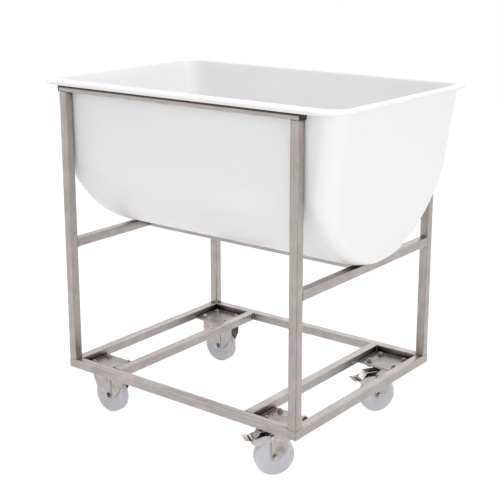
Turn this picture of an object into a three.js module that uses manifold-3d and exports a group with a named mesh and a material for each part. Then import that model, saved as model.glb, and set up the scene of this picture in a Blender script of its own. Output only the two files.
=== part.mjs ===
import * as THREE from 'three';
import Module from 'manifold-3d';
import { mergeVertices } from 'three/addons/utils/BufferGeometryUtils.js';
import { LoftGeometry } from 'three/addons/geometries/LoftGeometry.js';

// Food tub trolley: a lift-out half-barrel tub hung by its rim on a welded
// tube frame that rolls on two fixed and two braked swivel castors.
// Millimetres. X runs along the tub, Y across it, Z is up and the floor is
// at zero. Heights named "Height" are measured from the floor.

const wasm = await Module();
wasm.setup();

// Clearance left between neighbouring pieces
const seatGap = 0.3;

// Square tube frame
const frameLength = 800;
const frameWidth = 660;
const tubeSize = 25;
const tubeWall = 1.5;
const tubeCorner = 2.5;
const tubeCornerSteps = 1;
const deckHeight = 139.5;
const postLength = 775;
const midRailRise = 357.5;
const crossRailInset = 167.5;

// Push-in plugs that close the ends of the top rails
const plugHead = 4;
const plugStem = 14;

// Sheets welded into the bays of the base frame to carry the castors
const sheetThickness = 4;
const sheetDepth = 102;
const sheetHoleRadius = 4.6;

// Castor places and bolts
const castorEndInset = 88;
const castorSideInset = 80;
const plateThickness = 3;
const plateLength = 105;
const plateWidth = 85;
const plateCorner = 8;
const plateCornerSteps = 2;
const boltSpacingX = 80;
const boltSpacingY = 60;
const boltRadius = 4;
const boltHexRadius = 7.5;
const boltHeadHeight = 5.3;
const boltNutHeight = 6.5;
const boltEnd = 4;
const boltSides = 10;
const hexSides = 6;

// Wheels
const wheelRadius = 52.5;
const wheelWidth = 32;
const wheelShoulder = 4.5;
const wheelFaceEdge = 8;
const wheelRecess = 2;
const wheelHubRadius = 17;
const wheelHubSlope = 2;
const wheelSides = 28;
const bushOuterRadius = 8;
const bushSides = 16;

// Axle bolts
const axleRadius = 5;
const axleHexRadius = 8;
const axleNutHeight = 5;
const axleHeadHeight = 4.5;
const axleEnd = 1.5;
const axleSides = 12;

// Side plates that hold the wheels
const legThickness = 2;
const legClearance = 1;

// Fixed castor bracket
const fixedPlateLength = 118;
const fixedShoulderHalf = 58;
const fixedShoulderDrop = 38;
const fixedWaistDrop = 65;
const fixedWaistHalf = 46;
const fixedFlankDrop = 88;
const fixedFlankHalf = 24;
const fixedToeDrop = 97;
const fixedToeHalf = 9;
const ribHalf = 13;
const ribProud = 1.5;
const ribTopDrop = 8;
const ribInset = 1;

// Swivel castor head and fork
const swivelYawFront = THREE.MathUtils.degToRad(53);
const swivelYawBack = THREE.MathUtils.degToRad(60);
const swivelTrail = 32;
const crownRadius = 32;
const crownHeight = 9;
const crownSides = 28;
const raceGap = 0.6;
const kingPinRadius = 6;
const kingHeadRadius = 9;
const kingHeadHeight = 3;
const kingSides = 16;
const forkRearReach = 11;
const forkNeckDrop = 46;
const forkEarReach = 17;
const forkEarLowDrop = 38;
const forkEarTopDrop = 25;
const forkTopRear = 30;
const forkTopFront = 24;
const forkTopDrop = 10;
const forkLeadHighX = 5;
const forkLeadHighDrop = 48;
const forkLeadMidX = 1;
const forkLeadMidDrop = 64;
const forkLeadLowX = -7;
const forkLeadLowDrop = 81;
const forkToeRadius = 12.5;
const forkToeSweep = THREE.MathUtils.degToRad(135);
const forkToeSteps = 6;

// Brake: pin across the fork, leaf over the tread and foot pedal.
// Reaches are measured back from the wheel axle, drops from the deck.
const brakePinReach = 10;
const brakePinDrop = 31;
const brakePinRadius = 3;
const brakePinHeadRadius = 5;
const brakePinHeadHeight = 2;
const leafWidth = 30;
const leafThickness = 1.5;
const leafRootAhead = 12;
const leafBendReach = 40;
const leafTipReach = 54;
const leafTipDrop = 35;
const pedalThickness = 2;
const pedalClearance = 0.8;
const flangeFrontReach = 2;
const flangeFrontHalf = 6;
const flangeCrestReach = 34;
const flangeCrestDrop = 24;
const flangeRearDrop = 32;
const flangeRearReach = 64;
const flangeHeelReach = 53;
const flangeHeelDrop = 49;
const flangeRearLowDrop = 42;
const flangeBellyReach = 33;
const flangeBellyDrop = 48.5;
const flangeWaistReach = 15;
const flangeWaistDrop = 42;
const crossBarReach = 58;
const toeStepDrop = 37;
const toeBendReach = 69;
const toeBendDrop = 31.5;
const toeTipReach = 82;
const toeTipDrop = 29.5;
const toeWidth = 38;

// Tub shell
const tubOffsetX = 11;
const tubWall = 5;
const tubSideClearance = 8;
const tubSideDraft = 0.025;
const tubBarrelDepth = 230;
const tubBarrelPower = 1.55;
const tubBarrelRoundness = 2.03;
const tubFlatHalf = 14;
const tubEndOverhang = 23;
const tubEndDraft = 0.138;
const tubEndFillet = 27;
const tubCorner = 52;
const tubCornerSteps = 6;
const tubLevelShares = [0, 0.012, 0.035, 0.07, 0.12, 0.18, 0.25, 0.34, 0.46, 0.6, 0.78, 1];

// Tub rim, rolled over the top rails
const rimEndReach = 15;
const rimSideReach = 11;
const rimCorner = 82;
const rimThickness = 4.6;
const rimLip = 12;
const rimLipWall = 4;
const rimInnerRound = 9;
const rimOuterRound = 6;
const rimRootRound = 4;
// Rounded edges as shares of their radius: how far in, how far down
const innerRoundShares = [[1, 1], [0.8, 0.35], [0.25, 0.08], [-0.6, 0]];
const outerRoundShares = [[1, 0], [0.35, 0.2], [0, 0.8]];
const lipRoundShare = 0.3;

// Sizes that follow from the ones above
const topRailHeight = deckHeight + tubeSize + postLength;
const midRailHeight = deckHeight + midRailRise;
const postX = (frameLength - tubeSize) / 2;
const postY = (frameWidth - tubeSize) / 2;
const crossRailX = frameLength / 2 - crossRailInset;
const castorX = frameLength / 2 - castorEndInset;
const castorY = frameWidth / 2 - castorSideInset;
const tubHalfWidth = frameWidth / 2 - tubeSize - tubSideClearance;
const tubEndHalf = frameLength / 2 + tubEndOverhang;
const plateTop = deckHeight - seatGap;
const plateBottom = plateTop - plateThickness;
const legInner = wheelWidth / 2 + legClearance;
const legOuter = legInner + legThickness;
const bushBore = axleRadius + seatGap;
const wheelBore = bushOuterRadius + seatGap;

// Materials, one for each kind of surface
const steelLook = { color: 0xa8a39f, roughness: 0.42, metalness: 1 };
const castorLook = { color: 0xb2aeab, roughness: 0.32, metalness: 1 };
const boltLook = { color: 0x8f8b87, roughness: 0.3, metalness: 1 };
const tubLook = { color: 0xf2f1ee, roughness: 0.45, metalness: 0 };
const wheelLook = { color: 0xe3e1e4, roughness: 0.5, metalness: 0 };
const plugLook = { color: 0x17171a, roughness: 0.6, metalness: 0 };

const part = new THREE.Group();
part.name = 'food_tub_trolley';

function addPiece(name, geometry, look) {
  const mesh = new THREE.Mesh(geometry, new THREE.MeshStandardMaterial(look));
  mesh.name = name;
  part.add(mesh);
}

// Solids for the boolean steps
function solidOf(geometry) {
  const bare = new THREE.BufferGeometry().copy(geometry);
  bare.deleteAttribute('normal');
  bare.deleteAttribute('uv');
  const welded = mergeVertices(bare);
  return new wasm.Manifold(new wasm.Mesh({
    numProp: 3,
    vertProperties: Float32Array.from(welded.attributes.position.array),
    triVerts: Uint32Array.from(welded.index.array),
  }));
}

function geometryOf(solid) {
  const mesh = solid.getMesh();
  const geometry = new THREE.BufferGeometry();
  geometry.setAttribute('position', new THREE.BufferAttribute(Float32Array.from(mesh.vertProperties), 3));
  geometry.setIndex(new THREE.BufferAttribute(Uint32Array.from(mesh.triVerts), 1));
  return geometry;
}

function joined(geometries) {
  const solids = geometries.map(solidOf);
  return geometryOf(solids.reduce((whole, next) => whole.add(next)));
}

function cut(geometry, tools) {
  return geometryOf(tools.map(solidOf).reduce((whole, tool) => whole.subtract(tool), solidOf(geometry)));
}

// Outlines
function roundedOutline(path, width, depth, radius) {
  const x = width / 2 - radius;
  const y = depth / 2 - radius;
  path.absarc(x, y, radius, 0, Math.PI / 2);
  path.absarc(-x, y, radius, Math.PI / 2, Math.PI);
  path.absarc(-x, -y, radius, Math.PI, 3 * Math.PI / 2);
  path.absarc(x, -y, radius, 3 * Math.PI / 2, 2 * Math.PI);
  path.closePath();
  return path;
}

function squareOutline(path, size) {
  const half = size / 2;
  path.moveTo(half, half);
  path.lineTo(-half, half);
  path.lineTo(-half, -half);
  path.lineTo(half, -half);
  path.closePath();
  return path;
}

function polygon(points) {
  return new THREE.Shape(points.map(([x, y]) => new THREE.Vector2(x, y)));
}

function circlePath(x, y, radius) {
  return new THREE.Path().absarc(x, y, radius, 0, 2 * Math.PI);
}

// Extrusion upwards from a plan outline
function standing(shape, height, steps) {
  return new THREE.ExtrudeGeometry(shape, { depth: height, bevelEnabled: false, curveSegments: steps });
}

// Extrusion of a side outline (X, Z) across Y, centred on the given Y
function across(shape, width, y, steps = axleSides / 2) {
  return standing(shape, width, steps).rotateX(Math.PI / 2).translate(0, y + width / 2, 0);
}

// Square tubes
const tubeShape = roundedOutline(new THREE.Shape(), tubeSize, tubeSize, tubeCorner);
tubeShape.holes.push(squareOutline(new THREE.Path(), tubeSize - 2 * tubeWall));

function tubeStock(length) {
  return standing(tubeShape, length, tubeCornerSteps).translate(0, 0, -length / 2);
}

function tubeAlongX(length) {
  return tubeStock(length).rotateY(Math.PI / 2);
}

function tubeAlongY(length) {
  return tubeStock(length).rotateX(-Math.PI / 2);
}

// Both ends of a tube that runs along X, cut at 45 degrees; the long side is at +Y
function mitredAlongX(length) {
  const geometry = tubeAlongX(length);
  const position = geometry.attributes.position;
  const pull = seatGap / Math.SQRT2;
  for (let i = 0; i < position.count; i++) {
    const inset = tubeSize / 2 - position.getY(i) + pull;
    position.setX(i, position.getX(i) - Math.sign(position.getX(i)) * inset);
  }
  return geometry;
}

// Base frame
const baseZ = deckHeight + tubeSize / 2;
addPiece('base_rail_back', mitredAlongX(frameLength).translate(0, postY, baseZ), steelLook);
addPiece('base_rail_front', mitredAlongX(frameLength).rotateZ(Math.PI).translate(0, -postY, baseZ), steelLook);
addPiece('base_rail_right', mitredAlongX(frameWidth).rotateZ(-Math.PI / 2).translate(postX, 0, baseZ), steelLook);
addPiece('base_rail_left', mitredAlongX(frameWidth).rotateZ(Math.PI / 2).translate(-postX, 0, baseZ), steelLook);
const acrossLength = frameWidth - 2 * tubeSize - 2 * seatGap;
addPiece('cross_rail_right', tubeAlongY(acrossLength).translate(crossRailX, 0, baseZ), steelLook);
addPiece('cross_rail_left', tubeAlongY(acrossLength).translate(-crossRailX, 0, baseZ), steelLook);

// Posts, middle rails and top rails
const corners = [
  ['front_left', -1, -1],
  ['front_right', 1, -1],
  ['back_left', -1, 1],
  ['back_right', 1, 1],
];
const midZ = midRailHeight + tubeSize / 2;
const topZ = topRailHeight + tubeSize / 2;
for (const [place, sideX, sideY] of corners) {
  const post = tubeStock(postLength - 2 * seatGap);
  post.translate(sideX * postX, sideY * postY, deckHeight + tubeSize + postLength / 2);
  addPiece('post_' + place, post, steelLook);
}
addPiece('mid_rail_right', tubeAlongY(acrossLength).translate(postX, 0, midZ), steelLook);
addPiece('mid_rail_left', tubeAlongY(acrossLength).translate(-postX, 0, midZ), steelLook);
const cradleLength = frameLength - 2 * tubeSize - 2 * seatGap;
addPiece('cradle_rail', tubeAlongX(cradleLength).translate(0, 0, midZ), steelLook);
addPiece('top_rail_front', tubeAlongX(frameLength).translate(0, -postY, topZ), steelLook);
addPiece('top_rail_back', tubeAlongX(frameLength).translate(0, postY, topZ), steelLook);

// End plugs: a head outside the tube and a stem inside it
const stemSize = tubeSize - 2 * tubeWall - 2 * seatGap;
for (const [place, sideX, sideY] of corners) {
  const head = standing(roundedOutline(new THREE.Shape(), tubeSize, tubeSize, tubeCorner), plugHead, tubeCornerSteps);
  const stem = standing(squareOutline(new THREE.Shape(), stemSize), plugStem + plugHead / 2, tubeCornerSteps);
  stem.translate(0, 0, -plugStem);
  const plug = joined([head, stem]).rotateY(sideX * Math.PI / 2);
  plug.translate(sideX * (frameLength / 2 + seatGap), sideY * postY, topZ);
  addPiece('end_plug_' + place, plug, plugLook);
}

// Castor mounting sheets, flush with the underside of the base rails
const sheetNear = crossRailX + tubeSize / 2 + seatGap;
const sheetFar = frameLength / 2 - tubeSize - seatGap;
const sheetOuter = frameWidth / 2 - tubeSize - seatGap;
for (const [place, sideX, sideY] of corners) {
  const shape = polygon([
    [sheetNear, sheetOuter - sheetDepth],
    [sheetFar, sheetOuter - sheetDepth],
    [sheetFar, sheetOuter],
    [sheetNear, sheetOuter],
  ].map(([x, y]) => [x * sideX, y * sideY]));
  for (const stepX of [-1, 1]) {
    for (const stepY of [-1, 1]) {
      const x = sideX * castorX + stepX * boltSpacingX / 2;
      const y = sideY * castorY + stepY * boltSpacingY / 2;
      shape.holes.push(circlePath(x, y, sheetHoleRadius));
    }
  }
  const sheet = standing(shape, sheetThickness, boltSides / 2).translate(0, 0, deckHeight);
  addPiece('castor_sheet_' + place, sheet, steelLook);
}

// A castor plate with its four bolts and their nuts above the sheet
function boltedPlate(length, width) {
  const outline = roundedOutline(new THREE.Shape(), length, width, plateCorner);
  const plate = standing(outline, plateThickness, plateCornerSteps);
  const pieces = [plate.translate(0, 0, plateBottom)];
  const nutBottom = deckHeight + sheetThickness + seatGap;
  const shankBottom = plateBottom - boltHeadHeight;
  const shankTop = nutBottom + boltNutHeight + boltEnd;
  for (const stepX of [-1, 1]) {
    for (const stepY of [-1, 1]) {
      const shank = cylinder(boltRadius, shankBottom + plateThickness, shankTop, boltSides);
      const head = cylinder(boltHexRadius, shankBottom, plateBottom + plateThickness / 2, hexSides);
      const nut = cylinder(boltHexRadius, nutBottom, nutBottom + boltNutHeight, hexSides);
      for (const piece of [shank, head, nut]) {
        piece.rotateZ(Math.PI / hexSides);
        pieces.push(piece.translate(stepX * boltSpacingX / 2, stepY * boltSpacingY / 2, 0));
      }
    }
  }
  return pieces;
}

// Upright cylinder between two heights
function cylinder(radius, bottom, top, sides) {
  const geometry = new THREE.CylinderGeometry(radius, radius, top - bottom, sides);
  return geometry.rotateX(Math.PI / 2).translate(0, 0, (top + bottom) / 2);
}

// Cylinder lying along Y between two places
function crossCylinder(radius, from, to, sides) {
  return new THREE.CylinderGeometry(radius, radius, to - from, sides).translate(0, (to + from) / 2, 0);
}

// Wheel and bush, turned about Y through the axle height
function ring(profile, sides) {
  const points = profile.map(([radius, y]) => new THREE.Vector2(radius, y));
  points.push(points[0].clone());
  return new THREE.LatheGeometry(points, sides);
}

const faceY = wheelWidth / 2;
const faceRadius = wheelRadius - wheelFaceEdge;
const dishY = faceY - wheelRecess;
const dishInner = wheelHubRadius + wheelHubSlope;
const dishOuter = faceRadius - wheelHubSlope;
const treadY = faceY - wheelShoulder;
const wheelHalf = [
  [wheelBore, faceY],
  [wheelHubRadius, faceY],
  [dishInner, dishY],
  [dishOuter, dishY],
  [faceRadius, faceY],
  [wheelRadius - wheelShoulder, faceY],
  [wheelRadius, treadY],
];
const wheelProfile = [
  ...wheelHalf.map(([radius, y]) => [radius, -y]),
  ...wheelHalf.slice().reverse(),
];

function wheelGeometry() {
  return ring(wheelProfile, wheelSides);
}

function bushGeometry() {
  const end = legInner - seatGap;
  return ring([[bushBore, -end], [bushOuterRadius, -end], [bushOuterRadius, end], [bushBore, end]], bushSides);
}

// Axle bolt: head on one side of the side plates, nut and thread end on the other
function axleGeometry(outer) {
  const seat = outer + seatGap;
  const head = crossCylinder(axleHexRadius, seat, seat + axleHeadHeight, hexSides);
  const nut = crossCylinder(axleHexRadius, -seat - axleNutHeight, -seat, hexSides);
  const shank = crossCylinder(axleRadius, -seat - axleNutHeight - axleEnd, seat + axleHeadHeight / 2, axleSides);
  return joined([shank, head, nut]);
}

// Fixed castors on the left
const axleDrop = deckHeight - wheelRadius;
const fixedRim = [
  [fixedShoulderHalf, plateThickness / 2 + seatGap],
  [fixedShoulderHalf, fixedShoulderDrop],
  [fixedWaistHalf, fixedWaistDrop],
  [fixedFlankHalf, fixedFlankDrop],
  [fixedToeHalf, fixedToeDrop],
];
const fixedLegPoints = [
  ...fixedRim.map(([x, drop]) => [x, -drop]),
  ...fixedRim.slice().reverse().map(([x, drop]) => [-x, -drop]),
];
const ribPoints = [
  [ribHalf, -ribTopDrop],
  [ribHalf, -fixedFlankDrop],
  [fixedToeHalf - ribInset, ribInset - fixedToeDrop],
  [ribInset - fixedToeHalf, ribInset - fixedToeDrop],
  [-ribHalf, -fixedFlankDrop],
  [-ribHalf, -ribTopDrop],
];

function sidePlates(points, holes, width, middle) {
  return [-1, 1].map((side) => {
    const shape = polygon(points);
    for (const [x, drop, radius] of holes) {
      shape.holes.push(circlePath(x, -drop, radius));
    }
    return across(shape, width, side * middle).translate(0, 0, deckHeight);
  });
}

const axleHole = [0, axleDrop, axleRadius + seatGap];
for (const [place, sideY] of [['front', -1], ['back', 1]]) {
  const legs = sidePlates(fixedLegPoints, [axleHole], legThickness, legInner + legThickness / 2);
  const ribWidth = ribProud + legThickness / 2;
  const ribs = sidePlates(ribPoints, [axleHole], ribWidth, legOuter + ribProud - ribWidth / 2);
  const bracket = joined([...boltedPlate(fixedPlateLength, plateWidth), ...legs, ...ribs]);
  const x = -castorX;
  const y = sideY * castorY;
  addPiece('fixed_bracket_' + place, bracket.translate(x, y, 0), castorLook);
  addPiece('fixed_axle_' + place, axleGeometry(legOuter + ribProud).translate(x, y, wheelRadius), boltLook);
  addPiece('wheel_' + place + '_left', wheelGeometry().translate(x, y, wheelRadius), wheelLook);
  addPiece('bush_' + place + '_left', bushGeometry().translate(x, y, wheelRadius), boltLook);
}

// Swivel castors on the right, each made about its own swivel axis with the
// wheel trailing towards -X, then turned to the way it stands
const crownTop = plateBottom - raceGap;
const crownBottom = crownTop - crownHeight;
const axleX = -swivelTrail;
const brakePinX = axleX - brakePinReach;

function forkGeometry() {
  const toe = [];
  for (let i = 0; i <= forkToeSteps; i++) {
    const angle = Math.PI + forkToeSweep * i / forkToeSteps;
    toe.push([axleX + forkToeRadius * Math.cos(angle), -axleDrop + forkToeRadius * Math.sin(angle)]);
  }
  const outline = [
    ...toe,
    [forkLeadLowX, -forkLeadLowDrop],
    [forkLeadMidX, -forkLeadMidDrop],
    [forkLeadHighX, -forkLeadHighDrop],
    [forkTopFront, -forkTopDrop],
    [-forkTopRear, -forkTopDrop],
    [axleX - forkEarReach, -forkEarTopDrop],
    [axleX - forkEarReach, -forkEarLowDrop],
    [axleX - forkRearReach, -forkNeckDrop],
  ];
  const holes = [
    [axleX, axleDrop, axleRadius + seatGap],
    [brakePinX, brakePinDrop, brakePinRadius + seatGap],
  ];
  const legs = sidePlates(outline, holes, legThickness, legInner + legThickness / 2);
  const crown = cylinder(crownRadius, crownBottom, crownTop, crownSides);
  const bore = cylinder(kingPinRadius + seatGap, crownBottom - crownHeight, crownTop + crownHeight, kingSides);
  return joined([cut(crown, [bore]), ...legs]);
}

function swivelPlateGeometry(yaw) {
  const rivetTop = crownBottom - seatGap;
  const pin = cylinder(kingPinRadius, rivetTop - kingHeadHeight / 2, plateTop - plateThickness / 2, kingSides);
  const rivet = cylinder(kingHeadRadius, rivetTop - kingHeadHeight, rivetTop, kingSides);
  const pinned = [pin, rivet].map((piece) => piece.rotateZ(yaw));
  return joined([...boltedPlate(plateLength, plateWidth), ...pinned]);
}

const flangeInner = legOuter + pedalClearance;
const flangeOuter = flangeInner + pedalThickness;

function brakePinGeometry() {
  const seat = flangeOuter + seatGap;
  const shank = crossCylinder(brakePinRadius, -seat - brakePinHeadHeight / 2, seat + brakePinHeadHeight / 2, axleSides);
  const heads = [-1, 1].map((side) => {
    const middle = side * (seat + brakePinHeadHeight / 2);
    const half = brakePinHeadHeight / 2;
    return crossCylinder(brakePinHeadRadius, middle - half, middle + half, axleSides);
  });
  return joined([shank, ...heads]).translate(brakePinX, 0, deckHeight - brakePinDrop);
}

function leafGeometry() {
  const top = crownBottom - deckHeight - seatGap;
  const bottom = top - leafThickness;
  const shape = polygon([
    [axleX + leafRootAhead, top],
    [axleX - leafBendReach, top],
    [axleX - leafTipReach - leafThickness / 2, leafThickness / 2 - leafTipDrop],
    [axleX - leafTipReach + leafThickness / 2, -leafTipDrop - leafThickness / 2],
    [axleX - leafBendReach + leafThickness / 2, bottom],
    [axleX + leafRootAhead, bottom],
  ]);
  return across(shape, leafWidth, 0).translate(0, 0, deckHeight);
}

function pedalGeometry() {
  const flange = polygon([
    [brakePinReach - flangeFrontHalf, brakePinDrop - flangeFrontHalf],
    [flangeFrontReach, brakePinDrop],
    [brakePinReach - flangeFrontHalf, brakePinDrop + flangeFrontHalf],
    [flangeWaistReach, flangeWaistDrop],
    [flangeBellyReach, flangeBellyDrop],
    [flangeHeelReach, flangeHeelDrop],
    [flangeRearReach, flangeRearLowDrop],
    [flangeRearReach, flangeRearDrop],
    [crossBarReach, flangeRearDrop],
    [flangeCrestReach, flangeCrestDrop],
  ].map(([reach, drop]) => [axleX - reach, -drop]));
  flange.holes.push(circlePath(brakePinX, -brakePinDrop, brakePinRadius + seatGap));
  const flanges = [-1, 1].map((side) => across(flange, pedalThickness, side * (flangeInner + pedalThickness / 2)));
  const bar = polygon([
    [crossBarReach, flangeRearDrop],
    [crossBarReach, flangeRearDrop + pedalThickness],
    [flangeRearReach - pedalThickness, flangeRearDrop + pedalThickness],
    [flangeRearReach - pedalThickness, toeStepDrop],
    [flangeRearReach, toeStepDrop],
    [flangeRearReach, flangeRearDrop],
  ].map(([reach, drop]) => [axleX - reach, -drop]));
  const toe = polygon([
    [flangeRearReach - pedalThickness / 2, toeStepDrop - pedalThickness],
    [flangeRearReach - pedalThickness / 2, toeStepDrop],
    [flangeRearReach + pedalThickness, toeStepDrop],
    [toeBendReach, toeBendDrop + pedalThickness],
    [toeTipReach, toeTipDrop + pedalThickness],
    [toeTipReach, toeTipDrop],
    [toeBendReach, toeBendDrop],
    [flangeRearReach + pedalThickness / 2, toeStepDrop - pedalThickness],
  ].map(([reach, drop]) => [axleX - reach, -drop]));
  return joined([
    ...flanges,
    across(bar, 2 * flangeOuter - pedalThickness, 0),
    across(toe, toeWidth, 0),
  ]).translate(0, 0, deckHeight);
}

for (const [place, sideY, yaw] of [['front', -1, swivelYawFront], ['back', 1, swivelYawBack]]) {
  const x = castorX;
  const y = sideY * castorY;
  const stand = (geometry) => geometry.rotateZ(yaw).translate(x, y, 0);
  const onAxle = (geometry) => stand(geometry.translate(axleX, 0, wheelRadius));
  addPiece('swivel_plate_' + place, swivelPlateGeometry(yaw).translate(x, y, 0), castorLook);
  addPiece('swivel_fork_' + place, stand(forkGeometry()), castorLook);
  addPiece('swivel_axle_' + place, onAxle(axleGeometry(legOuter)), boltLook);
  addPiece('brake_pin_' + place, stand(brakePinGeometry()), boltLook);
  addPiece('brake_leaf_' + place, stand(leafGeometry()), castorLook);
  addPiece('brake_pedal_' + place, stand(pedalGeometry()), castorLook);
  addPiece('wheel_' + place + '_right', onAxle(wheelGeometry()), wheelLook);
  addPiece('bush_' + place + '_right', onAxle(bushGeometry()), boltLook);
}

// Tub: plan rings from the bottom up the outer wall, out under the rim, round
// its lip and over its top, less the hollow made of rings in the same way
const tubBottom = midRailHeight + tubeSize + seatGap;
const barrelTop = tubBottom + tubBarrelDepth;
const rimUnder = topRailHeight + tubeSize + seatGap;
const rimTop = rimUnder + rimThickness;

function tubRing(halfLength, halfWidth, cornerX, cornerY, height) {
  const points = [];
  for (let quarter = 0; quarter < 4; quarter++) {
    for (let step = 0; step <= tubCornerSteps; step++) {
      const angle = (quarter + step / tubCornerSteps) * Math.PI / 2;
      const signX = quarter === 0 || quarter === 3 ? 1 : -1;
      const signY = quarter < 2 ? 1 : -1;
      const x = tubOffsetX + signX * (halfLength - cornerX) + cornerX * Math.cos(angle);
      const y = signY * (halfWidth - cornerY) + cornerY * Math.sin(angle);
      points.push(new THREE.Vector3(x, y, height));
    }
  }
  return points;
}

// Half width of the barrel and half length of the end walls at a height
function barrelHalf(height, inset) {
  if (height >= barrelTop) {
    return tubHalfWidth + tubSideDraft * (height - barrelTop) - inset;
  }
  const fall = (barrelTop - height) / (tubBarrelDepth - inset);
  return (tubHalfWidth - inset) * (1 - Math.min(fall, 1) ** tubBarrelPower) ** (1 / tubBarrelRoundness);
}

function endHalf(height, inset) {
  const rise = height - tubBottom - inset;
  const fillet = tubEndFillet - inset;
  const low = Math.max(fillet - rise, 0);
  return tubEndHalf + tubEndDraft * (height - tubBottom) - inset - fillet + Math.sqrt(fillet ** 2 - low ** 2);
}

function wallRing(height, inset) {
  const halfWidth = Math.max(barrelHalf(height, inset), tubFlatHalf);
  const corner = tubCorner - inset;
  return tubRing(endHalf(height, inset), halfWidth, corner, Math.min(corner, halfWidth), height);
}

function barrelRings(inset) {
  return tubLevelShares.map((share) => {
    const depth = tubBarrelDepth - inset;
    return wallRing(barrelTop - depth * (1 - share), inset);
  });
}

// Rim rings: a share of the way from the wall to the lip, a shift and a drop
const wallTopWidth = barrelHalf(rimUnder, 0);
const wallTopLength = endHalf(rimUnder, 0);
const rimHalfWidth = frameWidth / 2 + rimSideReach;

function rimRing(share, shift, drop) {
  const halfLength = wallTopLength + rimEndReach * share + shift;
  const halfWidth = wallTopWidth + (rimHalfWidth - wallTopWidth) * share + shift;
  const corner = tubCorner + (rimCorner - tubCorner) * share + shift;
  return tubRing(halfLength, halfWidth, corner, corner, rimTop - drop);
}

const lipRound = rimLipWall * lipRoundShare;
const outerRings = [
  ...barrelRings(0),
  rimRing(0, 0, rimThickness + rimRootRound),
  rimRing(0, rimRootRound, rimThickness),
  rimRing(1, -rimLipWall - lipRound, rimThickness),
  rimRing(1, -rimLipWall, rimThickness + lipRound),
  rimRing(1, -rimLipWall, rimLip - lipRound),
  rimRing(1, lipRound - rimLipWall, rimLip),
  rimRing(1, -lipRound, rimLip),
  rimRing(1, 0, rimLip - lipRound),
  ...outerRoundShares.map(([inwards, down]) => {
    return rimRing(1, -rimOuterRound * inwards, rimOuterRound * down);
  }).reverse(),
];
const innerRings = [
  ...barrelRings(tubWall),
  ...innerRoundShares.map(([inwards, down]) => rimRing(0, -tubWall * inwards, rimInnerRound * down)),
  rimRing(0, tubWall, -rimInnerRound),
];
const tubBody = new LoftGeometry(outerRings, { capStart: true, capEnd: true });
const tubHollow = new LoftGeometry(innerRings, { capStart: true, capEnd: true });
addPiece('tub', cut(tubBody, [tubHollow]), tubLook);

// Origin: middle of the bounding box, at the floor
const extent = new THREE.Box3().setFromObject(part);
const middle = extent.getCenter(new THREE.Vector3());
part.position.set(-middle.x, -middle.y, -extent.min.z);
part.updateMatrixWorld(true);

export default part;
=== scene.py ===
import math

import bpy
import numpy as np
from mathutils import Matrix, Vector, noise


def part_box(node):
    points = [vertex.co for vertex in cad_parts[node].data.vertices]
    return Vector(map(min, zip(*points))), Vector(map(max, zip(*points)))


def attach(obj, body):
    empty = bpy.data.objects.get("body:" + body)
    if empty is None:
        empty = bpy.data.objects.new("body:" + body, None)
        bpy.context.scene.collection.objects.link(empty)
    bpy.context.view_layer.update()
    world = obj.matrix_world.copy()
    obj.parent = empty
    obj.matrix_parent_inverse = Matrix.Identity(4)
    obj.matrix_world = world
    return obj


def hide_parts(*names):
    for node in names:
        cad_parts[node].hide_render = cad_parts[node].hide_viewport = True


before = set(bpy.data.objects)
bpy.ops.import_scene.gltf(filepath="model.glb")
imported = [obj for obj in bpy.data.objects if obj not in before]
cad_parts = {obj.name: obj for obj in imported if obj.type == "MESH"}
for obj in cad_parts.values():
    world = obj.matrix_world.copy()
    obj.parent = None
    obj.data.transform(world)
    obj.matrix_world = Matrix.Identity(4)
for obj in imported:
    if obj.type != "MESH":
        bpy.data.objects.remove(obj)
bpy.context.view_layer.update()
MM = 0.001


def mid(node):
    lo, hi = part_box(node)
    return (Vector(lo) + Vector(hi)) / 2


# The trolley frame's own centre, as the drawing dimensions count from it
centre = (mid("top_rail_front") + mid("top_rail_back")) / 2
ORIGIN = Vector((centre.x, centre.y, 0.0))


def at(x, y, z):
    """A place in millimetres from the frame's centre, as a scene point."""
    return ORIGIN + Vector((x, y, z)) * MM


# Materials

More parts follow.
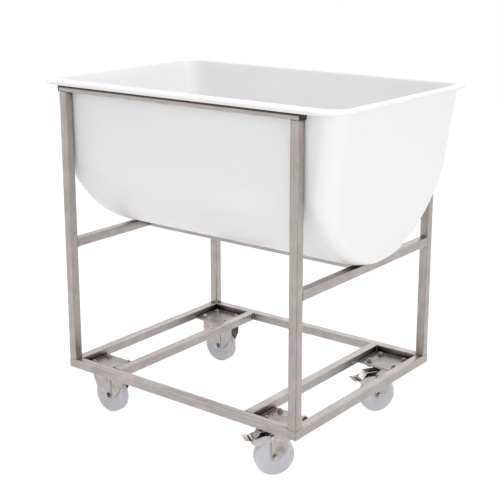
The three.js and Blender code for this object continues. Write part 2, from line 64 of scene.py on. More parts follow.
class Nodes:
    """Short hand for building one node material."""

    def __init__(self, name):
        self.material = bpy.data.materials.new(name)
        self.material.use_nodes = True
        self.tree = self.material.node_tree
        self.tree.nodes.clear()
        self.out = self.tree.nodes.new("ShaderNodeOutputMaterial")
        self.shader = self.tree.nodes.new("ShaderNodeBsdfPrincipled")
        self.link(self.shader.outputs["BSDF"], self.out.inputs["Surface"])

    def link(self, a, b):
        self.tree.links.new(a, b)

    def put(self, kind, inputs=(), **props):
        node = self.tree.nodes.new("ShaderNode" + kind)
        for key, value in props.items():
            setattr(node, key, value)
        for key, value in dict(inputs).items():
            self.feed(node.inputs[key], value)
        return node

    def feed(self, socket, value):
        if isinstance(value, bpy.types.NodeSocket):
            self.link(value, socket)
        else:
            socket.default_value = value

    def set(self, **values):
        for key, value in values.items():
            self.feed(self.shader.inputs[key.replace("_", " ")], value)

    def coords(self, scale, attribute=None):
        """A place on the piece, stretched by scale: in object space, or along a point attribute."""
        if attribute:
            origin = self.put("Attribute", attribute_name=attribute).outputs["Vector"]
        else:
            origin = self.put("TexCoord").outputs["Object"]
        return self.put("Mapping", {"Vector": origin, "Scale": scale}).outputs["Vector"]

    def noise(self, vector, detail, rough):
        return self.put("TexNoise", {"Vector": vector, "Scale": 1.0, "Detail": detail,
                                     "Roughness": rough}).outputs["Fac"]

    def ramp(self, fac, stops):
        node = self.put("ValToRGB", {"Fac": fac})
        bar = node.color_ramp
        while len(bar.elements) < len(stops):
            bar.elements.new(0.5)
        for element, (place, colour) in zip(bar.elements, stops):
            element.position = place
            element.color = (*colour, 1.0)
        return node.outputs["Color"]

    def span(self, value, low, high, to_low=0.0, to_high=1.0):
        return self.put("MapRange", {"Value": value, "From Min": low, "From Max": high,
                                     "To Min": to_low, "To Max": to_high}).outputs["Result"]

    def mix(self, fac, a, b, blend="MIX"):
        node = self.put("Mix", data_type="RGBA", blend_type=blend)
        self.feed(node.inputs["Factor"], fac)
        self.feed(node.inputs[6], a if isinstance(a, bpy.types.NodeSocket) else (*a, 1.0))
        self.feed(node.inputs[7], b if isinstance(b, bpy.types.NodeSocket) else (*b, 1.0))
        return node.outputs[2]

    def math(self, operation, a, b=0.0):
        node = self.put("Math", operation=operation)
        self.feed(node.inputs[0], a)
        self.feed(node.inputs[1], b)
        return node.outputs["Value"]

    def crevice(self, reach):
        """0 in tight corners to 1 on open faces."""
        return self.put("AmbientOcclusion", {"Distance": reach}, samples=8).outputs["AO"]

    def bump(self, height, strength, distance):
        return self.put("Bump", {"Height": height, "Strength": strength,
                                 "Distance": distance}).outputs["Normal"]


# How far the painted shade of a nook, a castor bay and a tight crease such as a joint reaches, in metres
NOOK_SHADE_REACH, BAY_SHADE_REACH, CREASE_SHADE_REACH = 0.03, 0.06, 0.014


def tube_steel(name, in_bay):
    """Satin stainless tube: grain along the tube, cloudy tints, heat colour near the welds."""
    m = Nodes(name)
    along = m.coords((9, 900, 900), attribute="grain")
    grain = m.noise(along, 4.0, 0.6)
    streak = m.noise(m.coords((2.5, 260, 260), attribute="grain"), 3.0, 0.6)
    cloud = m.noise(m.coords((16, 16, 16)), 4.0, 0.62)
    drift = m.noise(m.coords((7, 7, 7)), 2.0, 0.5)
    mottle = m.noise(m.coords((26, 170, 170), attribute="grain"), 4.0, 0.62)
    tone = m.ramp(cloud, [(0.30, (0.400, 0.376, 0.355)), (0.48, (0.447, 0.414, 0.400)),
                          (0.60, (0.480, 0.440, 0.433)), (0.74, (0.525, 0.484, 0.474))])
    hue = m.ramp(drift, [(0.34, (0.97, 1.0, 0.95)), (0.5, (1, 1, 1)), (0.66, (1.03, 0.965, 0.97))])
    tone = m.mix(1.0, tone, hue, "MULTIPLY")
    patch = m.ramp(mottle, [(0.30, (0.78, 0.75, 0.73)), (0.43, (0.93, 0.92, 0.91)),
                            (0.55, (1.0, 1.0, 1.0)), (0.70, (1.10, 1.09, 1.09))])
    tone = m.mix(1.0, tone, patch, "MULTIPLY")
    # Painted highlight and shade along the rounded corners: lighter on the rails, darker on the posts
    rim = m.put("Attribute", attribute_name="edge").outputs["Fac"]
    painted_corner_tone = m.ramp(rim, [(0.0, (0.52, 0.49, 0.47)), (0.5, (1, 1, 1)), (1.0, (1.6, 1.6, 1.6))])
    tone = m.mix(1.0, tone, painted_corner_tone, "MULTIPLY")
    tone = m.mix(m.span(grain, 0.3, 0.7, 0.0, 0.22), tone, (0.33, 0.31, 0.295))
    tone = m.mix(m.span(streak, 0.52, 0.72, 0.0, 0.30), tone, (0.26, 0.245, 0.23))
    heat = m.put("Attribute", attribute_name="heat").outputs["Fac"]
    blotch = m.noise(m.coords((85, 85, 85)), 3.0, 0.65)
    stain = m.math("MULTIPLY", heat, m.span(blotch, 0.3, 0.7, 0.15, 1.2))
    tint = m.ramp(stain, [(0.0, (1, 1, 1)), (0.3, (0.97, 0.90, 0.86)), (0.5, (0.78, 0.66, 0.60)),
                          (0.75, (0.45, 0.37, 0.35)), (1.0, (0.34, 0.31, 0.32))])
    tone = m.mix(1.0, tone, tint, "MULTIPLY")
    # Painted shade: nooks darken, the castor bays more so and patchily, and tight creases to a dark line
    painted_shade = m.ramp(m.crevice(NOOK_SHADE_REACH), [(0.15, (0.06, 0.05, 0.042)), (0.42, (0.40, 0.36, 0.33)),
                                          (0.56, (0.84, 0.82, 0.81)), (0.70, (1, 1, 1))])
    if in_bay:
        patchy_bay_shade = m.math("ADD", m.crevice(BAY_SHADE_REACH), m.span(mottle, 0.3, 0.7, -0.07, 0.07))
        bay_shade = m.ramp(patchy_bay_shade, [(0.40, (0.12, 0.10, 0.085)), (0.54, (0.36, 0.33, 0.305)),
                             (0.68, (0.72, 0.70, 0.68)), (0.84, (1, 1, 1))])
        painted_shade = m.mix(1.0, painted_shade, bay_shade, "MULTIPLY")
    crease_shade = m.ramp(m.crevice(CREASE_SHADE_REACH), [(0.45, (0.12, 0.10, 0.09)), (0.60, (0.34, 0.31, 0.30)),
                                          (0.67, (0.78, 0.76, 0.75)), (0.74, (1, 1, 1))])
    painted_shade = m.mix(1.0, painted_shade, crease_shade, "MULTIPLY")
    under = m.put("Attribute", attribute_name="under_lip").outputs["Fac"]
    shadow = m.ramp(under, [(0.30, (1, 1, 1)), (0.34, (0.2, 0.18, 0.17)),
                            (0.54, (0.2, 0.18, 0.17)), (0.62, (1, 1, 1))])
    painted_shade = m.mix(1.0, painted_shade, shadow, "MULTIPLY")
    m.set(Base_Color=m.mix(1.0, tone, painted_shade, "MULTIPLY"), Metallic=1.0,
          Roughness=m.span(grain, 0.25, 0.75, 0.30, 0.46),
          Normal=m.bump(grain, 0.12, 0.0003))
    return m.material


def sheet_steel(name, dark, rough, depth=0.02, floor=0.62):
    """Pressed stainless sheet with a fine random grain, and painted shade in its nooks, which reaches depth
    and darkens to floor.
    """
    m = Nodes(name)

    def shade(*colour):
        return tuple(dark * c for c in colour)

    grain = m.noise(m.coords((60, 700, 700)), 3.0, 0.6)
    smear = m.noise(m.coords((38, 38, 38)), 4.0, 0.66)
    tone = m.ramp(smear, [(0.32, shade(0.33, 0.305, 0.28)), (0.46, shade(0.45, 0.425, 0.41)),
                          (0.56, shade(0.48, 0.45, 0.445)), (0.70, shade(0.60, 0.575, 0.56))])
    painted_shade = m.ramp(m.crevice(depth), [(0.1, (0.05, 0.045, 0.04)), (0.4, (floor, floor * 0.97, floor * 0.95)),
                                     (0.75, (1, 1, 1))])
    m.set(Base_Color=m.mix(1.0, tone, painted_shade, "MULTIPLY"), Metallic=1.0,
          Roughness=m.span(grain, 0.25, 0.75, rough - 0.06, rough + 0.10),
          Normal=m.bump(grain, 0.10, 0.0002))
    return m.material


def weld_metal():
    """Dull, scaly weld bead."""
    m = Nodes("weld_metal")
    scale = m.noise(m.coords((260, 260, 260)), 3.0, 0.6)
    tone = m.ramp(scale, [(0.3, (0.17, 0.14, 0.125)), (0.5, (0.31, 0.275, 0.26)),
                          (0.7, (0.45, 0.42, 0.40))])
    m.set(Base_Color=tone, Metallic=1.0, Roughness=0.42, Normal=m.bump(scale, 0.4, 0.0004))
    return m.material


def polyethylene():
    """White moulded tub plastic: satin, a little milky, with faint scuffs."""
    m = Nodes("polyethylene")
    cloud = m.noise(m.coords((3.5, 3.5, 3.5)), 3.0, 0.5)
    scuff = m.noise(m.coords((5, 14, 9)), 2.0, 0.5)
    orange = m.noise(m.coords((150, 150, 150)), 1.0, 0.5)
    tone = m.ramp(cloud, [(0.2, (0.86, 0.852, 0.86)), (0.8, (0.89, 0.884, 0.884))])
    m.set(Base_Color=tone, Roughness=m.span(scuff, 0.1, 0.9, 0.28, 0.36),
          Normal=m.bump(orange, 0.03, 0.0003), Subsurface_Weight=0.12,
          Subsurface_Radius=(0.03, 0.028, 0.026), Subsurface_Scale=0.2, IOR=1.5,
          Specular_IOR_Level=0.45)
    return m.material


def nylon():
    """Milky wheel nylon, matt."""
    m = Nodes("nylon")
    cloud = m.noise(m.coords((30, 30, 30)), 3.0, 0.5)
    fine = m.noise(m.coords((500, 500, 500)), 2.0, 0.5)
    tone = m.ramp(cloud, [(0.3, (0.60, 0.59, 0.63)), (0.7, (0.65, 0.64, 0.68))])
    m.set(Base_Color=tone, Roughness=0.5, Subsurface_Weight=0.5, Subsurface_Radius=(0.02, 0.02, 0.022),
          Subsurface_Scale=0.6, Normal=m.bump(fine, 0.05, 0.0003))
    return m.material


def black_plastic():
    """Black push-in plug plastic."""
    m = Nodes("black_plastic")
    fine = m.noise(m.coords((300, 300, 300)), 3.0, 0.5)
    tone = m.ramp(fine, [(0.3, (0.012, 0.012, 0.013)), (0.7, (0.02, 0.02, 0.022))])
    m.set(Base_Color=tone, Roughness=m.span(fine, 0.3, 0.7, 0.45, 0.6))
    return m.material


TUBE = tube_steel("tube_steel", False)
BASE_TUBE = tube_steel("base_tube_steel", True)
# The last two numbers set how far the painted shade in nooks reaches and how dark it gets; inside the brake
# it is near black
SHEET = sheet_steel("castor_steel", 0.80, 0.42, 0.03, 0.45)
BRACKET = sheet_steel("bracket_steel", 0.98, 0.36, 0.004, 0.9)
BRAKE = sheet_steel("brake_steel", 1.05, 0.26, 0.035, 0.10)
# Fixings are painted very dark, as painted shade on the bolts' sides and the bushes; the bolts' end faces
# take a lighter copy of the same steel, as painted light
SHADED_FIXING = sheet_steel("fixing_steel_painted_shade", 0.30, 0.24, 0.01)
LIT_BOLT_END = sheet_steel("bolt_end_painted_light", 1.2, 0.2, 0.004)
WELD = weld_metal()
POLY = polyethylene()
NYLON = nylon()
BLACK = black_plastic()


# Meshes

def piece(name, verts, faces, material, body, slot, stands_for=None, smooth=40, **attributes):
    """A shown mesh from points in millimetres about the frame's centre.

    smooth is the angle in degrees above which an edge stays sharp, and attributes hold a value
    or a vector for each point.
    """
    data = bpy.data.meshes.new(name)
    data.from_pydata([at(*v) for v in verts], [], faces)
    data.validate()
    for key, values in attributes.items():
        if np.ndim(values) == 2:
            data.attributes.new(key, "FLOAT_VECTOR", "POINT").data.foreach_set("vector", np.ravel(values))
        else:
            data.attributes.new(key, "FLOAT", "POINT").data.foreach_set("value", list(values))
    data.materials.append(material)
    obj = bpy.data.objects.new(name, data)
    bpy.context.scene.collection.objects.link(obj)
    data.update()
    data.shade_smooth()
    data.set_sharp_from_angle(angle=math.radians(smooth))
    if stands_for:
        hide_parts(stands_for)
    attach(obj, body)


def grid_faces(rows, columns):
    """Faces between closed rows of points, each row columns long."""
    faces = []
    for r in range(rows - 1):
        for c in range(columns):
            n = (c + 1) % columns
            faces.append((r * columns + c, r * columns + n, (r + 1) * columns + n, (r + 1) * columns + c))
    return faces


def rounded_square(size, radius, steps):
    """Points round a square with rounded corners, each corner in so many steps."""
    half = size / 2 - radius
    points = []
    for quarter in range(4):
        sx, sy = ((1, 1), (-1, 1), (-1, -1), (1, -1))[quarter]
        for step in range(steps + 1):
            angle = (quarter + step / steps) * math.pi / 2
            points.append((sx * half + radius * math.cos(angle), sy * half + radius * math.sin(angle)))
    return points


TUBE_SIZE, TUBE_WALL, TUBE_ROUND = 25.0, 1.5, 2.5
TUBE_HALF = TUBE_SIZE / 2
TUBE_CORNER_STEPS = 4
# Rings of points lie at these distances from each end, closer where the heat colour changes
END_STEPS = (0, 2, 5, 9, 14, 20, 28, 38, 52)
END_ZONE = 60
HEAT_FADE = 11.0
FAR_FROM_HEAT = 999
# Painted highlight and shade on the rounded corners, where 0.5 is that of the flats and leaves the colour
# as it is: the posts' corners are painted darker, the rails' lighter
POST_CORNER_SHADE, RAIL_CORNER_HIGHLIGHT, FLAT_UNPAINTED_LEVEL = 0.15, 0.72, 0.5


def square_tube(name, axis, length, place, mitre=0):
    """One hollow rail or post. mitre is the side (+1 or -1) of the long side of 45 degree ends."""
    outer = rounded_square(TUBE_SIZE, TUBE_ROUND, TUBE_CORNER_STEPS)
    bend_start = TUBE_HALF - TUBE_ROUND + 0.01
    arc = [min(abs(u), abs(v)) > bend_start for u, v in outer]
    painted_corner_tone = POST_CORNER_SHADE if axis == "z" else RAIL_CORNER_HIGHLIGHT
    inner = rounded_square(TUBE_SIZE - 2 * TUBE_WALL, TUBE_ROUND - TUBE_WALL, TUBE_CORNER_STEPS)
    rings = [-length / 2 + s for s in END_STEPS] + [length / 2 - s for s in reversed(END_STEPS)]
    around = np.cumsum([0] + [math.dist(outer[i], outer[i - 1]) for i in range(1, len(outer))])
    verts, grain, heat, edge, under = [], [], [], [], []

    def add(loop, along, near):
        for (u, v), turn, bent in zip(loop, around, arc):
            shift = mitre and -math.copysign(TUBE_HALF - mitre * u, along)
            a = along + (shift if abs(abs(along) - length / 2) < END_ZONE else 0)
            verts.append({"x": (a, u, v), "y": (u, a, v), "z": (u, v, a)}[axis])
            grain.append((a * MM, turn * MM, 0.0))
            heat.append(math.exp(-near / HEAT_FADE))
            edge.append(painted_corner_tone if bent else FLAT_UNPAINTED_LEVEL)
            under.append((TUBE_HALF - v) / TUBE_SIZE if name.startswith("top") else 0.0)

    for along in rings:
        add(outer, along, length / 2 - abs(along))
    n, count = len(outer), len(rings)
    for along in (rings[0], rings[-1], rings[0] + END_ZONE, rings[-1] - END_ZONE):
        add(inner, along, FAR_FROM_HEAT)
    faces = grid_faces(count, n)
    first, last = count * n, (count + 1) * n
    for c in range(n):
        d = (c + 1) % n
        faces.append((d, c, first + c, first + d))
        faces.append(((count - 1) * n + c, (count - 1) * n + d, last + d, last + c))
        faces.append((first + c, (count + 2) * n + c, (count + 2) * n + d, first + d))
        faces.append((last + d, (count + 3) * n + d, (count + 3) * n + c, last + c))
        faces.append(((count + 2) * n + c, (count + 3) * n + c, (count + 3) * n + d, (count + 2) * n + d))
    moved = [tuple(c + p for c, p in zip(vert, place)) for vert in verts]
    if axis == "y":
        faces = [tuple(reversed(f)) for f in faces]
    steel = BASE_TUBE if name.startswith(("base", "cross")) else TUBE
    piece(name + "_look", moved, faces, steel, "frame", "frame_steel", name,
          grain=grain, heat=heat, edge=edge, under_lip=under)


# The trolley frame's sizes, as in the CAD part
GAP = 0.3
MITRE_GAP = 0.5
LENGTH, WIDTH = 800.0, 660.0
DECK, POST, MID_RISE = 139.5, 775.0, 357.5
POST_X, POST_Y = (LENGTH - TUBE_SIZE) / 2, (WIDTH - TUBE_SIZE) / 2
BASE_Z = DECK + TUBE_HALF
MID_Z = DECK + MID_RISE + TUBE_HALF
TOP_Z = DECK + TUBE_SIZE + POST + TUBE_HALF
CROSS_X = 232.5
CORNERS = [("front_left", -1, -1), ("front_right", 1, -1), ("back_left", -1, 1), ("back_right", 1, 1)]
ACROSS = WIDTH - 2 * TUBE_SIZE - 2 * GAP

square_tube("base_rail_back", "x", LENGTH - MITRE_GAP, (0, POST_Y, BASE_Z), 1)
square_tube("base_rail_front", "x", LENGTH - MITRE_GAP, (0, -POST_Y, BASE_Z), -1)
square_tube("base_rail_right", "y", WIDTH - MITRE_GAP, (POST_X, 0, BASE_Z), 1)
square_tube("base_rail_left", "y", WIDTH - MITRE_GAP, (-POST_X, 0, BASE_Z), -1)
square_tube("cross_rail_right", "y", ACROSS, (CROSS_X, 0, BASE_Z))
square_tube("cross_rail_left", "y", ACROSS, (-CROSS_X, 0, BASE_Z))
for place, sx, sy in CORNERS:
    square_tube("post_" + place, "z", POST - 2 * GAP,
                (sx * POST_X, sy * POST_Y, DECK + TUBE_SIZE + POST / 2))
square_tube("mid_rail_right", "y", ACROSS, (POST_X, 0, MID_Z))
square_tube("mid_rail_left", "y", ACROSS, (-POST_X, 0, MID_Z))
square_tube("cradle_rail", "x", LENGTH - 2 * TUBE_SIZE - 2 * GAP, (0, 0, MID_Z))
square_tube("top_rail_front", "x", LENGTH, (0, -POST_Y, TOP_Z))
square_tube("top_rail_back", "x", LENGTH, (0, POST_Y, TOP_Z))


# Tub

TUB_X, TUB_WALL = 11.0, 5.0
TUB_BOTTOM = DECK + MID_RISE + TUBE_SIZE + GAP
BARREL, POWER, ROUNDNESS, FLAT = 230.0, 1.55, 2.03, 14.0
HALF_W, SIDE_DRAFT = 297.0, 0.025
END_HALF, END_DRAFT, END_FILLET, CORNER = 423.0, 0.138, 27.0, 52.0
BARREL_STEPS, WALL_STEPS = 34, 8
# Above 1, this sets the barrel's rings closer at its bottom, where it curves most
BARREL_CROWDING = 1.8
RIM_REACH, RIM_W, RIM_CORNER = 14.6, 340.6, 82.0
RIM_UNDER = TOP_Z + TUBE_HALF + GAP
RIM_TOP = RIM_UNDER + 4.55
RIM_THICKNESS = 4.6
LIP, LIP_WALL, LIP_TIP, ROLL, INNER_ROUND = 12.0, 4.0, 2.0, 8.5, 9.0
# The rim's underside: its inner bend at the lip, and its root at the wall
LIP_START, LIP_TOP, LIP_BEND, ROOT_REACH, ROOT_BEND = 2.6, 7.0, 1.5, 4.0, 1.2
RIM_FLAT_SHARES = (0.4, 0.5)
WALL_TOP = RIM_UNDER - 8.0
CORNER_STEPS, SIDE_STEPS = 14, 14
# The rim is a little wavy, as a moulding is
RIM_WAVE, WAVE_PER_MM, WAVE_PLACE = 0.7, 0.006, 3.1


def between(a, b):
    """The points between two corners' ends, without the ends."""
    return [tuple(p + (q - p) * k / SIDE_STEPS for p, q in zip(a, b)) for k in range(1, SIDE_STEPS)]


def ring(half_l, half_w, corner_x, corner_y, height, wave=0.0):
    """One level line round the tub: a rectangle with rounded corners."""
    points = []
    for quarter in range(4):
        sx = 1 if quarter in (0, 3) else -1
        sy = 1 if quarter < 2 else -1
        arc = []
        for step in range(CORNER_STEPS + 1):
            angle = (quarter + step / CORNER_STEPS) * math.pi / 2
            x = sx * (half_l - corner_x) + corner_x * math.cos(angle)
            y = sy * (half_w - corner_y) + corner_y * math.sin(angle)
            arc.append((x, y))
        if points:
            points += between(points[-1], arc[0])
        points += arc
    points += between(points[-1], points[0])
    out = []
    for x, y in points:
        ripple = wave * noise.noise(Vector((x * WAVE_PER_MM, y * WAVE_PER_MM, WAVE_PLACE)))
        out.append((TUB_X + x, y, height - abs(ripple)))
    return out


def barrel_half(height, inset):
    """Half the tub's width at a height, on the outside (inset 0) or that far within."""
    top = TUB_BOTTOM + BARREL
    if height >= top:
        return HALF_W + SIDE_DRAFT * (height - top) - inset
    fall = (top - height) / (BARREL - inset)
    return (HALF_W - inset) * (1 - min(fall, 1) ** POWER) ** (1 / ROUNDNESS)


def end_half(height, inset):
    """Half the tub's length at a height, with the fillet of its bottom edge."""
    rise = height - TUB_BOTTOM - inset
    fillet = END_FILLET - inset
    low = max(fillet - rise, 0)
    wall = END_HALF + END_DRAFT * (height - TUB_BOTTOM) - inset
    return wall - fillet + math.sqrt(max(fillet ** 2 - low ** 2, 0))


def wall_ring(height, inset):
    half_w = max(barrel_half(height, inset), FLAT)
    corner = CORNER - inset
    return ring(end_half(height, inset), half_w, corner, min(corner, half_w), height)


def barrel_rings(inset):
    """Rings from the tub's bottom up to just under its rim."""
    top = TUB_BOTTOM + BARREL
    shares = [(k / BARREL_STEPS) ** BARREL_CROWDING for k in range(BARREL_STEPS + 1)]
    rings = [wall_ring(top - (BARREL - inset) * (1 - s), inset) for s in shares]
    for k in range(1, WALL_STEPS + 1):
        rings.append(wall_ring(top + (WALL_TOP - top) * k / WALL_STEPS, inset))
    return rings


WALL_W, WALL_L = barrel_half(RIM_UNDER, 0), end_half(RIM_UNDER, 0)


def rim_ring(share, shift, drop):
    """A line of the rim, a share of the way from wall to edge, shifted outward and dropped."""
    corner = CORNER + (RIM_CORNER - CORNER) * share + shift
    return ring(WALL_L + RIM_REACH * share + shift, WALL_W + (RIM_W - WALL_W) * share + shift,
                corner, corner, RIM_TOP - drop, RIM_WAVE)


def arc_rings(share, shift, drop, radius, start, stop, steps):
    """Rings round a bend of the rim's section, angles from the outward side."""
    rings = []
    for k in range(steps + 1):
        angle = math.radians(start + (stop - start) * k / steps)
        rings.append(rim_ring(share, shift + radius * math.cos(angle), drop - radius * math.sin(angle)))
    return rings


def build_tub():
    """The whole shell in one skin: up the inside, over the rim and its lip, down the outside."""
    rings = barrel_rings(TUB_WALL)
    rings += arc_rings(0, INNER_ROUND - TUB_WALL, INNER_ROUND, INNER_ROUND, 180, 90, 8)
    rings += [rim_ring(share, 0, 0) for share in RIM_FLAT_SHARES]
    rings += arc_rings(1, -ROLL, ROLL, ROLL, 90, 0, 10)
    rings += arc_rings(1, -LIP_TIP, LIP - LIP_TIP, LIP_TIP, -20, -160, 6)
    rings += [rim_ring(1, -LIP_WALL, LIP - LIP_START), rim_ring(1, -LIP_WALL, LIP_TOP)]
    rings += [rim_ring(1, -LIP_WALL - LIP_BEND, RIM_THICKNESS), rim_ring(0.5, 0, RIM_THICKNESS),
              rim_ring(0, ROOT_REACH, RIM_THICKNESS)]
    rings += [rim_ring(0, ROOT_BEND, RIM_THICKNESS + ROOT_BEND),
              rim_ring(0, 0, RIM_THICKNESS + ROOT_REACH)]
    rings += reversed(barrel_rings(0))
    columns = len(rings[0])
    verts = [p for r in rings for p in r]
    faces = [tuple(reversed(f)) for f in grid_faces(len(rings), columns)]
    faces.append(tuple(range(columns)))
    faces.append(tuple(reversed(range(len(verts) - columns, len(verts)))))
    piece("tub_look", verts, faces, POLY, "tub_shell", "tub_plastic", "tub", smooth=50)


build_tub()


# Weld beads, laid along the inner corners of the joints

BEAD_STEP, BEAD_SIDES = 1.1, 8
# Any direction that no weld runs along, to start the bead's section from
BEAD_START = Vector((0.31, 0.57, 0.76))
# A bead's thickness: its least share of the radius, its ripples and its unevenness
BEAD_LEAST, RIPPLE, RIPPLE_TURN, UNEVEN, UNEVEN_PER_MM = 0.82, 0.3, 0.62, 0.22, 0.12


def bead(name, path, radius, closed=False):
    """A rippled bead along a path of points, half sunk in both pieces."""
    spaced = []
    count = len(path) if closed else len(path) - 1
    for i in range(count):
        a, b = Vector(path[i]), Vector(path[(i + 1) % len(path)])
        steps = max(1, round((b - a).length / BEAD_STEP))
        spaced += [a.lerp(b, k / steps) for k in range(steps)]
    if not closed:
        spaced.append(Vector(path[-1]))
    n, sides = len(spaced), BEAD_SIDES
    verts = []
    for i, point in enumerate(spaced):
        ahead = spaced[(i + 1) % n] if closed else spaced[min(i + 1, n - 1)]
        behind = spaced[i - 1] if closed else spaced[max(i - 1, 0)]
        along = (ahead - behind).normalized()
        side = along.cross(BEAD_START).normalized()
        rise = along.cross(side)
        ripple = RIPPLE * abs(math.sin(i * RIPPLE_TURN))
        wobble = BEAD_LEAST + ripple + UNEVEN * noise.noise(point * UNEVEN_PER_MM)
        for k in range(sides):
            angle = 2 * math.pi * k / sides
            verts.append(tuple(point + (side * math.cos(angle) + rise * math.sin(angle)) * radius * wobble))
    faces = grid_faces(n, sides)
    if closed:
        last = (n - 1) * sides
        faces += [(last + k, last + (k + 1) % sides, (k + 1) % sides, k) for k in range(sides)]
    else:
        faces += [tuple(reversed(range(sides))), tuple(range((n - 1) * sides, n * sides))]
    piece(name, verts, faces, WELD, "frame", "frame_steel", smooth=60)


def post_path(sx, sy, z):
    """Round a post, just within its faces."""
    size, corner, steps = TUBE_SIZE - 0.4, TUBE_ROUND - 0.1, 3
    return [(sx * POST_X + u, sy * POST_Y + v, z) for u, v in rounded_square(size, corner, steps)]


# Radius of a bead at a post's end, a cross rail, a middle rail, a sheet and the cradle rail
POST_BEAD, CROSS_BEAD, MID_BEAD, SHEET_BEAD, CRADLE_BEAD = 0.9, 1.3, 1.6, 1.1, 1.4
SUNK, RAIL_SUNK = 0.2, 0.1
RAIL_INSIDE = WIDTH / 2 - TUBE_SIZE
SHEET_BEAD_LEVEL, SHEET_BEAD_DEPTH = DECK + 4.2, 101.0
MID_BEAD_HALF, CRADLE_BEAD_HALF = 10.5, 10.0
CROSS_BEAD_LOW, CROSS_BEAD_HIGH = DECK + 2.5, DECK + TUBE_SIZE - 2

for place, sx, sy in CORNERS:
    bead("weld_foot_" + place, post_path(sx, sy, DECK + TUBE_SIZE + SUNK), POST_BEAD, True)
    bead("weld_head_" + place, post_path(sx, sy, TOP_Z - TUBE_HALF - SUNK), POST_BEAD, True)
    end_y = sy * (RAIL_INSIDE - RAIL_SUNK)
    for dx in (-1, 1):
        x = sx * CROSS_X + dx * TUBE_HALF
        ends = [(x, end_y, CROSS_BEAD_LOW), (x, end_y, CROSS_BEAD_HIGH)]
        bead(f"weld_cross_{place}_{dx}", ends, CROSS_BEAD)
    for dz in (-1, 1):
        z = MID_Z + dz * TUBE_HALF
        ends = [(sx * (POST_X + side * MID_BEAD_HALF), end_y, z) for side in (-1, 1)]
        bead(f"weld_mid_{place}_{dz}", ends, MID_BEAD)
    near, far = CROSS_X + TUBE_HALF + SUNK, LENGTH / 2 - TUBE_SIZE - SUNK
    outer_y, inner_y = RAIL_INSIDE - SUNK, RAIL_INSIDE - SHEET_BEAD_DEPTH
    level = SHEET_BEAD_LEVEL
    bead("weld_sheet_" + place, [(sx * near, sy * inner_y, level), (sx * near, sy * outer_y, level),
                                 (sx * far, sy * outer_y, level), (sx * far, sy * inner_y, level)],
         SHEET_BEAD)
for sx in (-1, 1):
    for dy in (-1, 1):
        x, y = sx * (POST_X - TUBE_HALF - RAIL_SUNK), dy * TUBE_HALF
        ends = [(x, y, MID_Z - CRADLE_BEAD_HALF), (x, y, MID_Z + CRADLE_BEAD_HALF)]
        bead(f"weld_cradle_{sx}_{dy}", ends, CRADLE_BEAD)


# Wheels, turned smoother than the CAD ones
CASTOR_X, CASTOR_Y, TRAIL, WHEEL_R = 312.0, 250.0, 32.0, 52.5
WHEEL_HALF, WHEEL_SHOULDER, WHEEL_TURNS = 15.9, 6.5, 72
# Radii of the wheel's face: the bore and the hub, then the dish out to the tread
BORE, BORE_EDGE, HUB, HUB_EDGE = 8.4, 9.2, 15.5, 17.5
DISH_IN, DISH_OUT, DISH_EDGE, FACE_EDGE = 20.0, 33.0, 40.0, 44.0
DISH_DEPTH, BORE_CHAMFER, HUB_FALL, DISH_RISE = 1.1, 0.6, 0.4, 0.5
SHOULDER_DEGREES = range(0, 91, 15)
TREAD_GAP, TREAD_CROWN = 0.1, 0.05
# How far the castor forks are turned, as in the photo
FORK_TURN = {"front": math.radians(53), "back": math.radians(60)}


def wheel(name, place, yaw):
    """A moulded wheel about its own axle, with rounded tread edges and a shallow dished face."""
    half, shoulder = WHEEL_HALF, WHEEL_SHOULDER
    rim = WHEEL_R - TREAD_GAP
    profile = [(BORE, half - BORE_CHAMFER), (BORE_EDGE, half), (HUB, half), (HUB_EDGE, half - HUB_FALL),
               (DISH_IN, half - DISH_DEPTH), (DISH_OUT, half - DISH_DEPTH), (DISH_EDGE, half - DISH_RISE),
               (FACE_EDGE, half)]
    profile += [(rim - shoulder + shoulder * math.sin(a), half - shoulder + shoulder * math.cos(a))
                for a in map(math.radians, SHOULDER_DEGREES)]
    loop = profile + [(rim + TREAD_CROWN, 0)] + [(r, -h) for r, h in reversed(profile)]
    turns = WHEEL_TURNS
    c, s = math.cos(yaw), math.sin(yaw)
    verts = []
    for k in range(turns):
        angle = 2 * math.pi * k / turns
        for r, h in loop:
            u, w = r * math.cos(angle), r * math.sin(angle)
            verts.append((place[0] + u * c - h * s, place[1] + u * s + h * c, WHEEL_R + w))
    n = len(loop)
    faces = []
    for k in range(turns):
        m = (k + 1) % turns
        for i in range(n):
            j = (i + 1) % n
            faces.append((k * n + i, k * n + j, m * n + j, m * n + i))
    body = "roller_" + name.split("_", 1)[1]
    piece(name + "_look", verts, faces, NYLON, body, "wheel_nylon", name, smooth=35)


for end, sy in (("front", -1), ("back", 1)):
    yaw = FORK_TURN[end]
    wheel("wheel_" + end + "_left", (-CASTOR_X, sy * CASTOR_Y), 0.0)
    trailing = (CASTOR_X - TRAIL * math.cos(yaw), sy * CASTOR_Y - TRAIL * math.sin(yaw))
    wheel("wheel_" + end + "_right", trailing, yaw)


# Pieces that keep the CAD shape, with softened edges

def frame_axis(obj):
    """The long direction of a bolt, from its own points."""
    points = [v.co for v in obj.data.vertices]
    middle = sum(points, Vector()) / len(points)
    far = max(points, key=lambda p: (p - middle).length)
    axis = (far - middle).normalized()
    near = [p for p in points if (p - middle).dot(axis) > END_SHARE * (far - middle).length]
    return (sum(near, Vector()) / len(near) - middle).normalized()


SHARP_ANGLE = math.radians(30)
# A face counts as a bolt's end where its normal is this nearly along the bolt
END_FACE = 0.9
# Points beyond this share of the farthest one lie on the bolt's end
END_SHARE = 0.96


